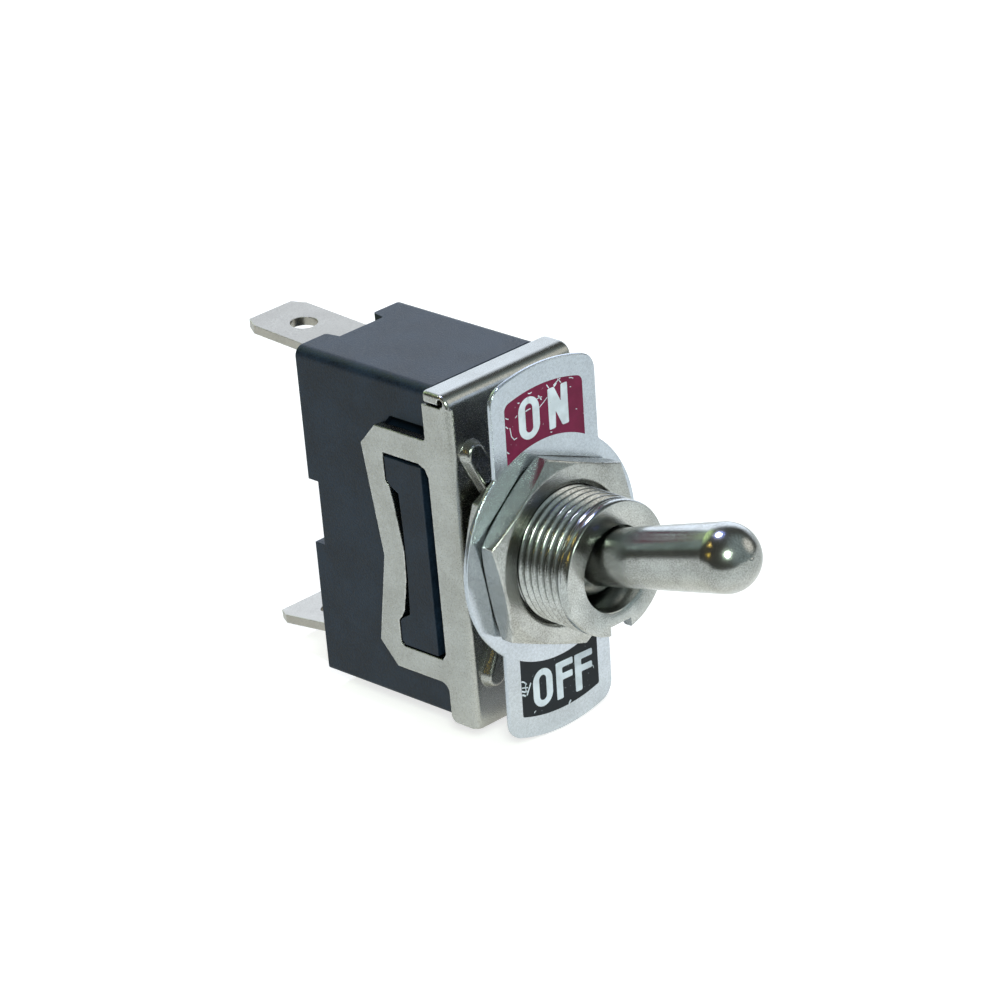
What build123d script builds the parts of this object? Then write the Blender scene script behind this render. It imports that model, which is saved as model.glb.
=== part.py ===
from build123d import *
from math import cos, radians, sin, tan
import os

os.makedirs("parts", exist_ok=True)

# Panel toggle switch, in millimetres.
# X runs across the switch, Y runs back from the panel face, +Z is the ON side.
# The origin lies on the bushing axis at the front face of the bracket.

# Case block
case_half_width = 6.5
case_half_height = 15.3
case_front = 1.6
case_back = 19.6
case_top_round = 0.9
case_bottom_round = 0.35
lip_ledge_depth = 3.32
cavity_half_width = 4.4
back_wall = 3.0
cavity_back = case_back - back_wall
ear_recess_half_width = 2.87
ear_recess_floor = case_back - 1.5
ear_recess_height = 3.9
middle_notch_half_height = 3.0
middle_notch_floor = case_back - 1.2

# Side pocket and retaining boss of the case
loop_mid_z = -0.45
pocket_floor_depth = 0.9
pocket_front = 2.2
pocket_back = 9.55
pocket_top = 12.1
pocket_bottom = -10.3
pocket_corner = 1.35
boss_height = 0.85
boss_front = 4.1
boss_back = 8.52
boss_waist_back = 7.02
boss_top = 8.58
boss_bottom = -8.98
boss_upper_step = 5.5
boss_lower_step = -6.2
boss_waist_top = 1.9
boss_waist_bottom = -2.2

# Folded bracket
sheet = 0.85
bracket_half_width = 7.4
lip_rise = 0.15
bracket_top = case_half_height + lip_rise
side_bend_radius = 0.75
lip_bend_radius = 1.15
lip_depth = 3.15
lip_corner_round = 0.55
lip_edge_round = 0.35
strip_depth = 3.09
strip_top = bracket_top - lip_bend_radius - 0.02
strip_corner_round = 0.7
corner_relief_radius = 0.36
corner_relief_back = 0.85
corner_relief_rise = 0.5
corner_relief_depth = 0.9
arm_half_height = 11.3
loop_back = 11.25
loop_chamfer_y = 9.33
loop_chamfer_z = 9.25
loop_waist_back = 9.7
loop_waist_z = -0.9
window_top = 8.98
window_bottom = -9.15
window_back = 8.65
window_waist = 7.15
window_upper_step = 6.4
window_lower_step = -6.75
window_waist_top = 0.1
window_waist_bottom = -2.6
rib_inner_radius = 8.0
rib_outer_radius = 11.5
rib_half_width = 1.2
rib_height = 0.9
rib_angle = 63.0
rib_side_taper = 18
rib_rim_round = 0.35
rib_hollow_half_width = 0.45

# Fibre card behind the bracket
card_thickness = 0.68
card_half_width = 6.4
card_half_height = case_half_height - 0.9
card_hole_radius = 6.1

# Threaded bushing
thread_radius = 5.95
thread_pitch = 0.794
thread_depth = 0.4
thread_flat = 0.12
plain_rim = 0.75
bushing_length = 11.0
bushing_mouth_chamfer = 0.12
spigot_radius = 5.3
spigot_back = 1.55
stake_radius = 5.85
stake_depth = 0.5
bore_radius = 3.76
bore_cone_start = -5.5
bore_rear_radius = 4.5
bore_lead = 0.12
keyway_half_width = 1.25
keyway_depth = 1.0

# Nuts, washer and indicator plate
nut_across_flats = 15.8
nut_thickness = 2.2
rear_nut_thickness = 1.7
nut_chamfer_drop = 0.5
nut_bore_lead = 0.45
front_nut_turn = 38.6
rear_nut_turn = 18.0
plate_front = -3.4
plate_thickness = 0.35
plate_edge_round = 0.12
plate_ring_radius = 10.13
plate_tab_radius = 16.78
plate_tab_half_width = 6.2
plate_corner_round = 1.8
plate_neck_round = 0.5
plate_turn = 2.06
plate_key_half_width = 1.02
washer_radius = 7.9
washer_thickness = 0.4
washer_root_radius = 6.95
washer_teeth = 12
washer_tooth_twist = 3.0

# Lever, pivot pin, plunger and spring
pivot_y = -7.0
lever_tilt = 14.7
ball_radius = 3.25
bat_root_radius = 2.41
bat_tip_radius = 3.0
bat_tip_centre = 17.49
stem_radius = 1.9
stem_shoulder = 4.4
stem_length = 14.0
plunger_bore_radius = 1.2
plunger_bore_end = 7.5
pin_radius = 0.8
pin_half_length = 4.6
plunger_radius = 1.12
plunger_back = 11.5
plunger_nose_centre = 15.9
plunger_nose_radius = 1.0
spring_radius = 0.88
spring_wire_radius = 0.16
spring_turns = 6

# Contact rocker and its saddle
rocker_axis_y = 11.0
rocker_lean = 8.0
rocker_wing_angle = 15.3
rocker_valley = 0.75
rocker_sheet = 0.6
rocker_half_length = 8.9
rocker_half_width = 2.4
rocker_head_half_width = 3.6
rocker_head_length = 1.3
trunnion_radius = 0.6
trunnion_half_length = 3.9
saddle_ear_inner = 3.0
saddle_sheet = 0.6
saddle_front = 10.2
saddle_half_height = 2.3
saddle_ear_half_height = 1.5
rivet_radius = 0.9
rivet_head_radius = 1.7
rivet_head_height = 0.6
idle_stop_inner = 2.75
idle_stop_low = 7.9
idle_stop_high = 9.5

# Silver contacts
contact_radius = 1.3
contact_head = 0.75
contact_dome = 0.35
contact_shank_radius = 0.6
contact_distance = 7.9
contact_gap = 0.08

# Terminals
blade_sheet = 0.8
blade_outer_z = case_half_height - 1.59
neck_half_width = 2.3
neck_end = 20.5
blade_half_width = 3.17
blade_length = 9.5
blade_corner_length = 1.3
blade_corner_width = 0.7
blade_hole_radius = 1.25
blade_hole_from_tip = 4.35
upper_splay = 3.0
lower_splay = 6.4
contact_tab_height = 7.1

# Named fits
running_fit = 0.05
slide_fit = 0.05
seat_gap = 0.03
cavity_half_height = blade_outer_z + slide_fit


# Share of a radius between a square corner and the middle of its round
arc_share = 1 - cos(radians(45))


def plane_at_y(y):
    """Plane facing the front at depth y, with X across and Z up."""
    return Plane.XZ.offset(-y)


def flank_plane(x):
    """Plane across X at the middle height of the spring loops, with Y then Z."""
    return Plane(origin=(x, 0, loop_mid_z), x_dir=(0, 1, 0), z_dir=(1, 0, 0))


def turned(angle, distance_back):
    """World Y and Z of a point on the lever axis, distance_back behind the pivot."""
    return (
        pivot_y + distance_back * cos(radians(angle)),
        -distance_back * sin(radians(angle)),
    )


def rocker_point(u, v):
    """World Y and Z of a rocker point, u back from the trunnion and v up along it."""
    lean = radians(rocker_lean)
    return (
        rocker_axis_y + u * cos(lean) - v * sin(lean),
        u * sin(lean) + v * cos(lean),
    )


# Case: moulded block, open at the front
moat = [
    (pocket_front, pocket_top),
    (pocket_back - pocket_corner, pocket_top),
    (pocket_back, pocket_top - pocket_corner),
    (pocket_back, pocket_bottom),
    (pocket_front, pocket_bottom),
]
boss_outline = [
    (boss_front, boss_top),
    (boss_back, boss_top),
    (boss_back, boss_upper_step + 0.95),
    (boss_back - 0.4, boss_upper_step + 0.5),
    (boss_waist_back + 0.13, boss_upper_step - 0.05),
    (boss_waist_back, boss_waist_top),
    (boss_waist_back, boss_waist_bottom),
    (boss_waist_back + 0.2, boss_lower_step + 0.3),
    (boss_back - 0.35, boss_lower_step - 0.25),
    (boss_back, boss_lower_step - 0.6),
    (boss_back, boss_bottom + 0.35),
    (boss_back - 0.35, boss_bottom),
    (boss_front, boss_bottom),
]
ledge_height = bracket_top - sheet - seat_gap
pocket_floor_x = case_half_width - pocket_floor_depth

with BuildPart() as case:
    with BuildSketch(plane_at_y(case_front)):
        Rectangle(2 * case_half_width, 2 * case_half_height)
    extrude(amount=case_front - case_back)
    long_edges = case.edges().filter_by(Axis.Y)
    fillet(long_edges.group_by(Axis.Z)[-1], case_top_round)
    long_edges = case.edges().filter_by(Axis.Y)
    fillet(long_edges.group_by(Axis.Z)[0], case_bottom_round)
    # ledge under the bracket lip
    with BuildSketch(plane_at_y(case_front)):
        with Locations((0, (case_half_height + ledge_height) / 2)):
            Rectangle(
                2 * case_half_width + 2,
                case_half_height - ledge_height,
            )
    extrude(amount=case_front - lip_ledge_depth, mode=Mode.SUBTRACT)
    # mechanism cavity
    with BuildSketch(plane_at_y(case_front)):
        Rectangle(2 * cavity_half_width, 2 * cavity_half_height)
    extrude(amount=case_front - cavity_back, mode=Mode.SUBTRACT)
    # posts that stop the idle end of the rocker
    stop_front = rocker_axis_y - 1.05
    for side in (1, -1):
        with BuildSketch(plane_at_y(stop_front)):
            with Locations(
                (
                    side * (idle_stop_inner + cavity_half_width) / 2,
                    (idle_stop_low + idle_stop_high) / 2,
                )
            ):
                Rectangle(
                    cavity_half_width - idle_stop_inner,
                    idle_stop_high - idle_stop_low,
                )
        extrude(amount=stop_front - cavity_back)
    # terminal recess between the ears, top and bottom, with its slot
    for side in (1, -1):
        recess_mid = side * (case_half_height - ear_recess_height / 2)
        with BuildSketch(Plane.XY.offset(recess_mid - ear_recess_height / 2)):
            Polygon(
                (-ear_recess_half_width, case_back + 0.2),
                (ear_recess_half_width, case_back + 0.2),
                (ear_recess_half_width - 0.3, ear_recess_floor),
                (-ear_recess_half_width + 0.3, ear_recess_floor),
                align=None,
            )
        extrude(amount=ear_recess_height, mode=Mode.SUBTRACT)
        with BuildSketch(plane_at_y(cavity_back)):
            with Locations((0, side * (blade_outer_z - blade_sheet / 2))):
                Rectangle(
                    2 * (neck_half_width + slide_fit),
                    blade_sheet + 2 * slide_fit,
                )
        extrude(amount=cavity_back - case_back, mode=Mode.SUBTRACT)
    # notch across the middle of the back, with the saddle rivet hole
    with BuildSketch(plane_at_y(middle_notch_floor)):
        Rectangle(2 * case_half_width + 2, 2 * middle_notch_half_height)
    extrude(amount=middle_notch_floor - case_back, mode=Mode.SUBTRACT)
    with BuildSketch(plane_at_y(cavity_back)):
        Circle(rivet_radius)
    extrude(amount=cavity_back - case_back, mode=Mode.SUBTRACT)
    # pocket and retaining boss on each flank
    for side in (1, -1):
        with BuildSketch(flank_plane(side * pocket_floor_x)):
            Polygon(*moat, align=None)
        extrude(
            amount=side * (pocket_floor_depth + 0.2),
            mode=Mode.SUBTRACT,
        )
        with BuildSketch(flank_plane(side * pocket_floor_x)):
            Polygon(*boss_outline, align=None)
        extrude(amount=side * (pocket_floor_depth + boss_height))
    ear_edges = (
        case.edges()
        .filter_by(Axis.Z)
        .filter_by(lambda e: abs(e.center().Y - case_back) < 0.01)
        .filter_by(lambda e: abs(abs(e.center().X) - ear_recess_half_width) < 0.1)
    )
    fillet(ear_edges, 0.3)
case.part.label = "case"
export_step(case.part, "parts/case.step")

# Bracket: one folded sheet with two spring loops and two lips
loop_outline = [
    (strip_depth - 0.4, arm_half_height),
    (loop_chamfer_y, arm_half_height),
    (loop_back, loop_chamfer_z),
    (loop_waist_back, loop_waist_z),
    (loop_back, -loop_chamfer_z),
    (loop_chamfer_y, -arm_half_height),
    (strip_depth - 0.4, -arm_half_height),
]
window_outline = [
    (strip_depth, window_top - 1.1),
    (strip_depth + 0.35, window_top - 0.35),
    (strip_depth + 1.1, window_top),
    (window_back, window_top),
    (window_back, window_upper_step),
    (window_back - 0.45, window_upper_step - 0.5),
    (window_back - 0.72, window_upper_step - 1.7),
    (window_waist, window_waist_top),
    (window_waist + 0.12, window_waist_bottom),
    (window_waist + 0.38, window_lower_step + 2.65),
    (window_back - 0.77, window_lower_step + 1.05),
    (window_back - 0.4, window_lower_step + 0.4),
    (window_back, window_lower_step),
    (window_back, window_bottom + 0.35),
    (window_back - 0.35, window_bottom),
    (strip_depth + 0.45, window_bottom),
    (strip_depth, window_bottom + 0.6),
]

with BuildPart() as bracket:
    # front plate and both side strips in one U section
    with BuildSketch(Plane.XY.offset(-case_half_height)):
        Polygon(
            (-bracket_half_width, strip_depth),
            (-bracket_half_width, side_bend_radius),
            (-bracket_half_width + side_bend_radius, 0),
            (bracket_half_width - side_bend_radius, 0),
            (bracket_half_width, side_bend_radius),
            (bracket_half_width, strip_depth),
            align=None,
        )
        for side in (1, -1):
            with Locations(
                (
                    side * (bracket_half_width - side_bend_radius),
                    side_bend_radius,
                )
            ):
                Circle(side_bend_radius)
        with Locations((0, sheet + strip_depth / 2)):
            Rectangle(
                2 * (bracket_half_width - sheet),
                strip_depth,
                mode=Mode.SUBTRACT,
            )
    extrude(amount=case_half_height + strip_top)
    strip_corners = (
        bracket.edges()
        .filter_by(Axis.X)
        .filter_by(lambda e: abs(e.center().Y - strip_depth) < 0.01)
        .group_by(Axis.Z)[0]
    )
    fillet(strip_corners, strip_corner_round)
    # lip over the top of the case
    with BuildSketch(Plane.YZ.offset(-bracket_half_width)):
        with BuildLine():
            bend_start = bracket_top - lip_bend_radius
            bend_middle = arc_share * lip_bend_radius
            Line((0, strip_top), (0, bend_start))
            ThreePointArc(
                (0, bend_start),
                (bend_middle, bracket_top - bend_middle),
                (lip_bend_radius, bracket_top),
            )
            Polyline(
                (lip_bend_radius, bracket_top),
                (lip_depth, bracket_top),
                (lip_depth, bracket_top - sheet),
                (sheet, bracket_top - sheet),
                (sheet, strip_top),
                (0, strip_top),
            )
        make_face()
    extrude(amount=2 * bracket_half_width)
    lip_corners = (
        bracket.edges()
        .filter_by(Axis.Z)
        .filter_by(lambda e: abs(e.center().Y - lip_depth) < 0.01)
        .filter_by(lambda e: e.center().Z > strip_top)
    )
    fillet(lip_corners, lip_corner_round)
    lip_rim = (
        bracket.faces()
        .filter_by(lambda f: abs(f.center().Z - bracket_top) < 0.01)
        .edges()
        .filter_by(lambda e: e.center().Y > lip_bend_radius + 0.01)
    )
    fillet(lip_rim, lip_edge_round)
    # spring loops
    for side in (1, -1):
        inner_x = side * (bracket_half_width - sheet)
        with BuildSketch(flank_plane(inner_x)):
            Polygon(*loop_outline, align=None)
            Polygon(*window_outline, align=None, mode=Mode.SUBTRACT)
        extrude(amount=side * sheet)
    arm_roots = (
        bracket.edges()
        .filter_by(Axis.X)
        .filter_by(lambda e: abs(e.center().Y - strip_depth) < 0.01)
        .filter_by(
            lambda e: abs(abs(e.center().Z - loop_mid_z) - arm_half_height) < 0.01
        )
    )
    fillet(arm_roots.group_by(Axis.Z)[0], 0.9)
    fillet(arm_roots.group_by(Axis.Z)[-1], 0.35)
    # round relief in each end of the lip's bend, over the strip
    relief_height = strip_top + corner_relief_rise - loop_mid_z
    for side in (1, -1):
        with BuildSketch(flank_plane(side * bracket_half_width)):
            with Locations((corner_relief_back, relief_height)):
                Circle(corner_relief_radius)
        extrude(amount=-side * corner_relief_depth, mode=Mode.SUBTRACT)
    # pressed ribs that run out to the four corners
    rib_centre_radius = (rib_inner_radius + rib_outer_radius) / 2
    rib_places = []
    for angle in (rib_angle, 180 - rib_angle, -rib_angle, rib_angle - 180):
        rib_x = rib_centre_radius * cos(radians(angle))
        rib_z = loop_mid_z + rib_centre_radius * sin(radians(angle))
        rib_places.append(Location((rib_x, rib_z), angle))
    with BuildSketch(plane_at_y(0)):
        with Locations(*rib_places):
            SlotCenterToCenter(
                rib_outer_radius - rib_inner_radius,
                2 * rib_half_width,
            )
    extrude(amount=rib_height, taper=rib_side_taper)
    rib_rims = (
        bracket.faces()
        .filter_by(lambda f: abs(f.center().Y + rib_height) < 0.01)
        .edges()
    )
    fillet(rib_rims, rib_rim_round)
    with BuildSketch(plane_at_y(sheet)):
        with Locations(*rib_places):
            SlotCenterToCenter(
                rib_outer_radius - rib_inner_radius,
                2 * rib_hollow_half_width,
            )
    extrude(amount=rib_height, mode=Mode.SUBTRACT)
    # bushing hole
    with BuildSketch(plane_at_y(-0.1)):
        Circle(spigot_radius)
    extrude(amount=-sheet - 0.2, mode=Mode.SUBTRACT)
bracket.part.label = "bracket"
export_step(bracket.part, "parts/bracket.step")

# Fibre card between bracket and case
with BuildPart() as insulator_card:
    with BuildSketch(plane_at_y(sheet + seat_gap)):
        RectangleRounded(2 * card_half_width, 2 * card_half_height, 0.5)
        Circle(card_hole_radius, mode=Mode.SUBTRACT)
    extrude(amount=-card_thickness)
insulator_card.part.label = "insulator_card"
export_step(insulator_card.part, "parts/insulator_card.step")

# Threaded bushing, staked into the bracket; the thread is cut as grooves of its real pitch
thread_front = -bushing_length + plain_rim
thread_turns = int(-thread_front / thread_pitch)
groove_points = []
for turn in range(thread_turns):
    groove_front = thread_front + turn * thread_pitch
    groove_points += [
        (thread_radius, groove_front + thread_flat),
        (thread_radius - thread_depth, groove_front + (thread_pitch - thread_flat) / 2),
        (thread_radius - thread_depth, groove_front + (thread_pitch + thread_flat) / 2),
        (thread_radius, groove_front + thread_pitch - thread_flat),
    ]

with BuildPart() as bushing:
    with BuildSketch(Plane.XY):
        with BuildLine():
            Polyline(
                (bore_radius + bore_lead, -bushing_length),
                (thread_radius - bushing_mouth_chamfer, -bushing_length),
                (thread_radius, -bushing_length + bushing_mouth_chamfer),
                *groove_points,
                (thread_radius, 0),
                (spigot_radius, 0),
                (spigot_radius, sheet),
                (stake_radius, sheet),
                (stake_radius, sheet + stake_depth * 0.5),
                (stake_radius - 0.3, sheet + stake_depth),
                (spigot_radius, sheet + stake_depth),
                (spigot_radius, spigot_back),
                (bore_rear_radius, spigot_back),
                (bore_radius, bore_cone_start),
                (bore_radius, -bushing_length + bore_lead),
                close=True,
            )
        make_face()
    revolve(axis=Axis.Y)
    # keyway at six o'clock
    with BuildSketch(plane_at_y(-bushing_length - 0.1)):
        with Locations((0, -thread_radius)):
            Rectangle(2 * keyway_half_width, 2 * keyway_depth)
    extrude(amount=-bushing_length - 0.1, mode=Mode.SUBTRACT)
    # blind slots that carry the ends of the pivot pin
    slot_half = pin_half_length + running_fit
    with BuildSketch(Plane.YZ.offset(-slot_half)):
        with Locations((pivot_y, 0)):
            Circle(pin_radius)
        with Locations(((pivot_y + spigot_back) / 2 + 0.1, 0)):
            Rectangle(spigot_back - pivot_y + 0.2, 2 * pin_radius)
    extrude(amount=2 * slot_half, mode=Mode.SUBTRACT)
bushing.part.label = "bushing"
export_step(bushing.part, "parts/bushing.step")

# Hexagon nuts, chamfered on both faces
nut_corner = nut_across_flats / 2 / cos(radians(30))
nut_chamfer_radius = nut_across_flats / 2 - 0.12
rear_nut_back = -rib_height
plate_back = plate_front + plate_thickness

with BuildPart() as rear_nut:
    with BuildSketch(plane_at_y(rear_nut_back)):
        RegularPolygon(
            nut_across_flats / 2,
            6,
            major_radius=False,
            rotation=rear_nut_turn,
        )
        Circle(thread_radius + seat_gap, mode=Mode.SUBTRACT)
    extrude(amount=rear_nut_thickness)
    with BuildSketch(Plane.XY, mode=Mode.PRIVATE) as rear_nut_cone:
        rear_nut_front = rear_nut_back - rear_nut_thickness
        Polygon(
            (nut_chamfer_radius, rear_nut_front),
            (nut_corner + 0.1, rear_nut_front + nut_chamfer_drop),
            (nut_corner + 0.1, rear_nut_back - nut_chamfer_drop),
            (nut_chamfer_radius, rear_nut_back),
            (0, rear_nut_back),
            (0, rear_nut_front),
            align=None,
        )
    revolve(rear_nut_cone.sketch, axis=Axis.Y, mode=Mode.INTERSECT)
rear_nut.part.label = "rear_nut"
export_step(rear_nut.part, "parts/rear_nut.step")

with BuildPart() as front_nut:
    with BuildSketch(plane_at_y(plate_front)):
        RegularPolygon(
            nut_across_flats / 2,
            6,
            major_radius=False,
            rotation=front_nut_turn,
        )
        Circle(thread_radius + seat_gap, mode=Mode.SUBTRACT)
    extrude(amount=nut_thickness)
    nut_face = plate_front - nut_thickness
    with BuildSketch(Plane.XY, mode=Mode.PRIVATE) as front_nut_cone:
        Polygon(
            (nut_chamfer_radius, nut_face),
            (nut_corner + 0.1, nut_face + nut_chamfer_drop),
            (nut_corner + 0.1, plate_front - nut_chamfer_drop),
            (nut_chamfer_radius, plate_front),
            (0, plate_front),
            (0, nut_face),
            align=None,
        )
    revolve(front_nut_cone.sketch, axis=Axis.Y, mode=Mode.INTERSECT)
    bore_edge = (
        front_nut.edges()
        .filter_by(GeomType.CIRCLE)
        .filter_by(lambda e: abs(e.center().Y - nut_face) < 0.01)
        .sort_by(SortBy.RADIUS)[0:1]
    )
    chamfer(bore_edge, nut_bore_lead)
front_nut.part.label = "front_nut"
export_step(front_nut.part, "parts/front_nut.step")

# Internal tooth lock washer
washer_mid = (plate_back + rear_nut_front) / 2
with BuildPart() as lock_washer:
    with BuildSketch(plane_at_y(washer_mid + washer_thickness / 2)):
        Circle(washer_radius)
        Circle(washer_root_radius, mode=Mode.SUBTRACT)
    extrude(amount=washer_thickness)
    tooth_reach = washer_root_radius + 0.3 - thread_radius - 0.1
    tooth_mid = thread_radius + 0.1 + tooth_reach / 2
    for count in range(washer_teeth):
        angle = 360 / washer_teeth * count + 7
        tooth_place = Location((0, washer_mid, 0)) * Location((0, 0, 0), (0, angle, 0))
        with Locations(tooth_place):
            with Locations(Location((tooth_mid, 0, 0), (washer_tooth_twist, 0, 0))):
                Box(tooth_reach, washer_thickness - 0.06, 1.5)
lock_washer.part.label = "lock_washer"
export_step(lock_washer.part, "parts/lock_washer.step")

# Indicator plate with ON and OFF tabs
with BuildPart() as indicator_plate:
    with BuildSketch(plane_at_y(plate_back)) as plate_outline:
        Rectangle(2 * plate_tab_half_width, 2 * plate_tab_radius)
        Circle(plate_tab_radius, mode=Mode.INTERSECT)
        fillet(plate_outline.vertices(), plate_corner_round)
        Circle(plate_ring_radius)
        necks = plate_outline.vertices().filter_by(
            lambda v: abs(abs(v.X) - plate_tab_half_width) < 0.01
            and abs(v.Y) < plate_ring_radius
        )
        fillet(necks, plate_neck_round)
        Circle(thread_radius + seat_gap, mode=Mode.SUBTRACT)
        with Locations((0, -thread_radius + 0.35)):
            Rectangle(2 * plate_key_half_width, 0.9)
    extrude(amount=plate_thickness)
    rim = (
        indicator_plate.faces()
        .sort_by(Axis.Y)[0]
        .outer_wire()
        .edges()
    )
    fillet(rim, plate_edge_round)
indicator_plate.part.label = "indicator_plate"
turned_plate = indicator_plate.part.rotate(Axis.Y, plate_turn)
turned_plate.label = "indicator_plate"
export_step(turned_plate, "parts/indicator_plate.step")

# Bat lever with its ball and hollow stem
tilt = radians(lever_tilt)
lever_forward = (0, -cos(tilt), sin(tilt))
lever_plane = Plane(
    origin=(0, pivot_y, 0),
    x_dir=(1, 0, 0),
    z_dir=(0, -sin(tilt), -cos(tilt)),
)
lever_axis = Axis((0, pivot_y, 0), lever_forward)
ball_front = (ball_radius**2 - bat_root_radius**2) ** 0.5
ball_rear_radius = 2.4
ball_rear = -((ball_radius**2 - ball_rear_radius**2) ** 0.5)

with BuildPart() as lever:
    with BuildSketch(lever_plane):
        with BuildLine():
            Polyline(
                (0, -plunger_bore_end),
                (plunger_bore_radius, -plunger_bore_end),
                (plunger_bore_radius, -stem_length),
                (stem_radius - 0.2, -stem_length),
                (stem_radius, -stem_length + 0.2),
                (stem_radius, -stem_shoulder),
                (ball_rear_radius, -stem_shoulder + 0.9),
                (ball_rear_radius, ball_rear),
            )
            ThreePointArc(
                (ball_rear_radius, ball_rear),
                (ball_radius, 0),
                (bat_root_radius, ball_front),
            )
            Line((bat_root_radius, ball_front), (bat_tip_radius, bat_tip_centre))
            ThreePointArc(
                (bat_tip_radius, bat_tip_centre),
                (
                    bat_tip_radius * cos(radians(45)),
                    bat_tip_centre + bat_tip_radius * sin(radians(45)),
                ),
                (0, bat_tip_centre + bat_tip_radius),
            )
            Line((0, bat_tip_centre + bat_tip_radius), (0, -plunger_bore_end))
        make_face()
    revolve(axis=lever_axis)
    with BuildSketch(Plane.YZ.offset(-ball_radius - 0.5)):
        with Locations((pivot_y, 0)):
            Circle(pin_radius + running_fit)
    extrude(amount=2 * ball_radius + 1, mode=Mode.SUBTRACT)
lever.part.label = "lever"
export_step(lever.part, "parts/lever.step")

# Pivot pin
with BuildPart() as pivot_pin:
    with BuildSketch(Plane.YZ.offset(-pin_half_length)):
        with Locations((pivot_y, 0)):
            Circle(pin_radius)
    extrude(amount=2 * pin_half_length)
    chamfer(pivot_pin.edges().filter_by(GeomType.CIRCLE), 0.12)
pivot_pin.part.label = "pivot_pin"
export_step(pivot_pin.part, "parts/pivot_pin.step")

# Plunger that slides in the stem
with BuildPart() as plunger:
    with BuildSketch(lever_plane):
        with BuildLine():
            Polyline(
                (0, -plunger_nose_centre - plunger_nose_radius),
                (0, -plunger_back + 0.8),
                (0.45, -plunger_back + 0.8),
                (0.5, -plunger_back),
                (plunger_radius, -plunger_back),
                (plunger_radius, -plunger_nose_centre + 0.4),
                (plunger_nose_radius, -plunger_nose_centre),
            )
            ThreePointArc(
                (plunger_nose_radius, -plunger_nose_centre),
                (
                    plunger_nose_radius * cos(radians(45)),
                    -plunger_nose_centre - plunger_nose_radius * sin(radians(45)),
                ),
                (0, -plunger_nose_centre - plunger_nose_radius),
            )
        make_face()
    revolve(axis=lever_axis)
plunger.part.label = "plunger"
export_step(plunger.part, "parts/plunger.step")

# Toggle spring behind the plunger
spring_start = plunger_bore_end + spring_wire_radius + 0.02
spring_end = plunger_back - spring_wire_radius - 0.02
spring_y, spring_z = turned(lever_tilt, spring_start)
spring_height = spring_end - spring_start
with BuildPart() as toggle_spring:
    with BuildLine() as coil:
        Helix(
            pitch=spring_height / spring_turns,
            height=spring_height,
            radius=spring_radius,
            center=(0, spring_y, spring_z),
            direction=(0, cos(tilt), -sin(tilt)),
        )
    with BuildSketch(coil.line ^ 0):
        Circle(spring_wire_radius)
    sweep(path=coil.line)
toggle_spring.part.label = "toggle_spring"
export_step(toggle_spring.part, "parts/toggle_spring.step")

# Contact rocker: a shallow V that turns on two trunnions
lean = radians(rocker_lean)
wing = tan(radians(rocker_wing_angle))
rocker_plane = Plane(
    origin=(0, rocker_axis_y, 0),
    x_dir=(0, cos(lean), sin(lean)),
    z_dir=(1, 0, 0),
)
front_apex = -rocker_valley
back_apex = front_apex + rocker_sheet / cos(radians(rocker_wing_angle))
end_u = rocker_half_length * wing
contact_u = back_apex - contact_distance * wing
contact_y, contact_z = rocker_point(contact_u, -contact_distance)
contact_tip = radians(rocker_wing_angle - rocker_lean)
contact_plane = Plane(
    origin=(0, contact_y, contact_z),
    x_dir=(1, 0, 0),
    z_dir=(0, cos(contact_tip), -sin(contact_tip)),
)

with BuildPart() as rocker:
    with BuildSketch(rocker_plane.offset(-rocker_half_width)):
        Polygon(
            (front_apex, 0),
            (front_apex - end_u, rocker_half_length),
            (back_apex - end_u, rocker_half_length),
            (back_apex, 0),
            (back_apex - end_u, -rocker_half_length),
            (front_apex - end_u, -rocker_half_length),
            align=None,
        )
    extrude(amount=2 * rocker_half_width)
    head_start = rocker_half_length - rocker_head_length
    with BuildSketch(rocker_plane.offset(-rocker_head_half_width)):
        Polygon(
            (front_apex - head_start * wing, head_start),
            (front_apex - end_u, rocker_half_length),
            (back_apex - end_u, rocker_half_length),
            (back_apex - head_start * wing, head_start),
            align=None,
        )
    extrude(amount=2 * rocker_head_half_width)
    with BuildSketch(rocker_plane.offset(-trunnion_half_length)):
        Circle(trunnion_radius)
    extrude(amount=2 * trunnion_half_length)
    with BuildSketch(contact_plane):
        Circle(contact_shank_radius)
    extrude(amount=-1.5, mode=Mode.SUBTRACT)
rocker.part.label = "rocker"
export_step(rocker.part, "parts/rocker.step")

# Silver contact riveted through the rocker
with BuildPart() as moving_contact:
    with BuildSketch(contact_plane):
        Circle(contact_radius)
    extrude(amount=contact_head)
    with Locations(contact_plane.offset(contact_head)):
        dome_rise = contact_dome
        dome_radius = (contact_radius**2 + dome_rise**2) / (2 * dome_rise)
        with Locations((0, 0, dome_rise - dome_radius)):
            Sphere(dome_radius, mode=Mode.PRIVATE)
    fillet(
        moving_contact.faces().sort_by(Axis.Y)[-1].edges(),
        contact_dome,
    )
    with BuildSketch(contact_plane):
        Circle(contact_shank_radius)
    extrude(amount=-rocker_sheet)
    with BuildSketch(contact_plane.offset(-rocker_sheet)):
        Circle(contact_shank_radius + 0.35)
    extrude(amount=-0.3)
moving_contact.part.label = "moving_contact"
export_step(moving_contact.part, "parts/moving_contact.step")

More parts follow.
